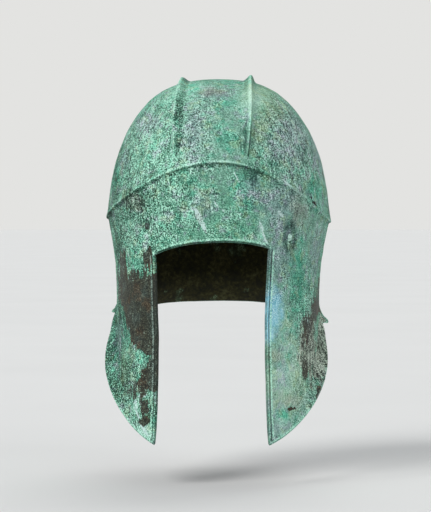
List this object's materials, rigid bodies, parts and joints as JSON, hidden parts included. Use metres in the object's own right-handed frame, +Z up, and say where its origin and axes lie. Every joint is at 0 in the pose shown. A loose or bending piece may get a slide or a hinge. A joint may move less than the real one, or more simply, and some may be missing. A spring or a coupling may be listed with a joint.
{
  "type": "open-faced bronze helmet",
  "caption": "Antique open-faced bronze helmet with a domed crown, paired crest ridges, a wide face opening, long pointed cheek pieces and a flared neck guard.",
  "frame": {"origin": "middle of the underside of the crown, where a head or the top of a stand bears", "axes": "+Z up through the crown, the face looks along -Y, the wearer's left side is at +X"},
  "size_m": [0.1839, 0.2222, 0.2935],
  "materials": {
    "patinated_bronze": "rough green patina over brown bronze",
    "pale_rivet": "rough pale green patina",
    "dark_rivet": "rough dark patina"
  },
  "bodies": {
    "root": {"helmet_shell": "patinated_bronze", "temple_rivet_left": "pale_rivet", "temple_rivet_right": "dark_rivet"}
  },
  "joints": []
}
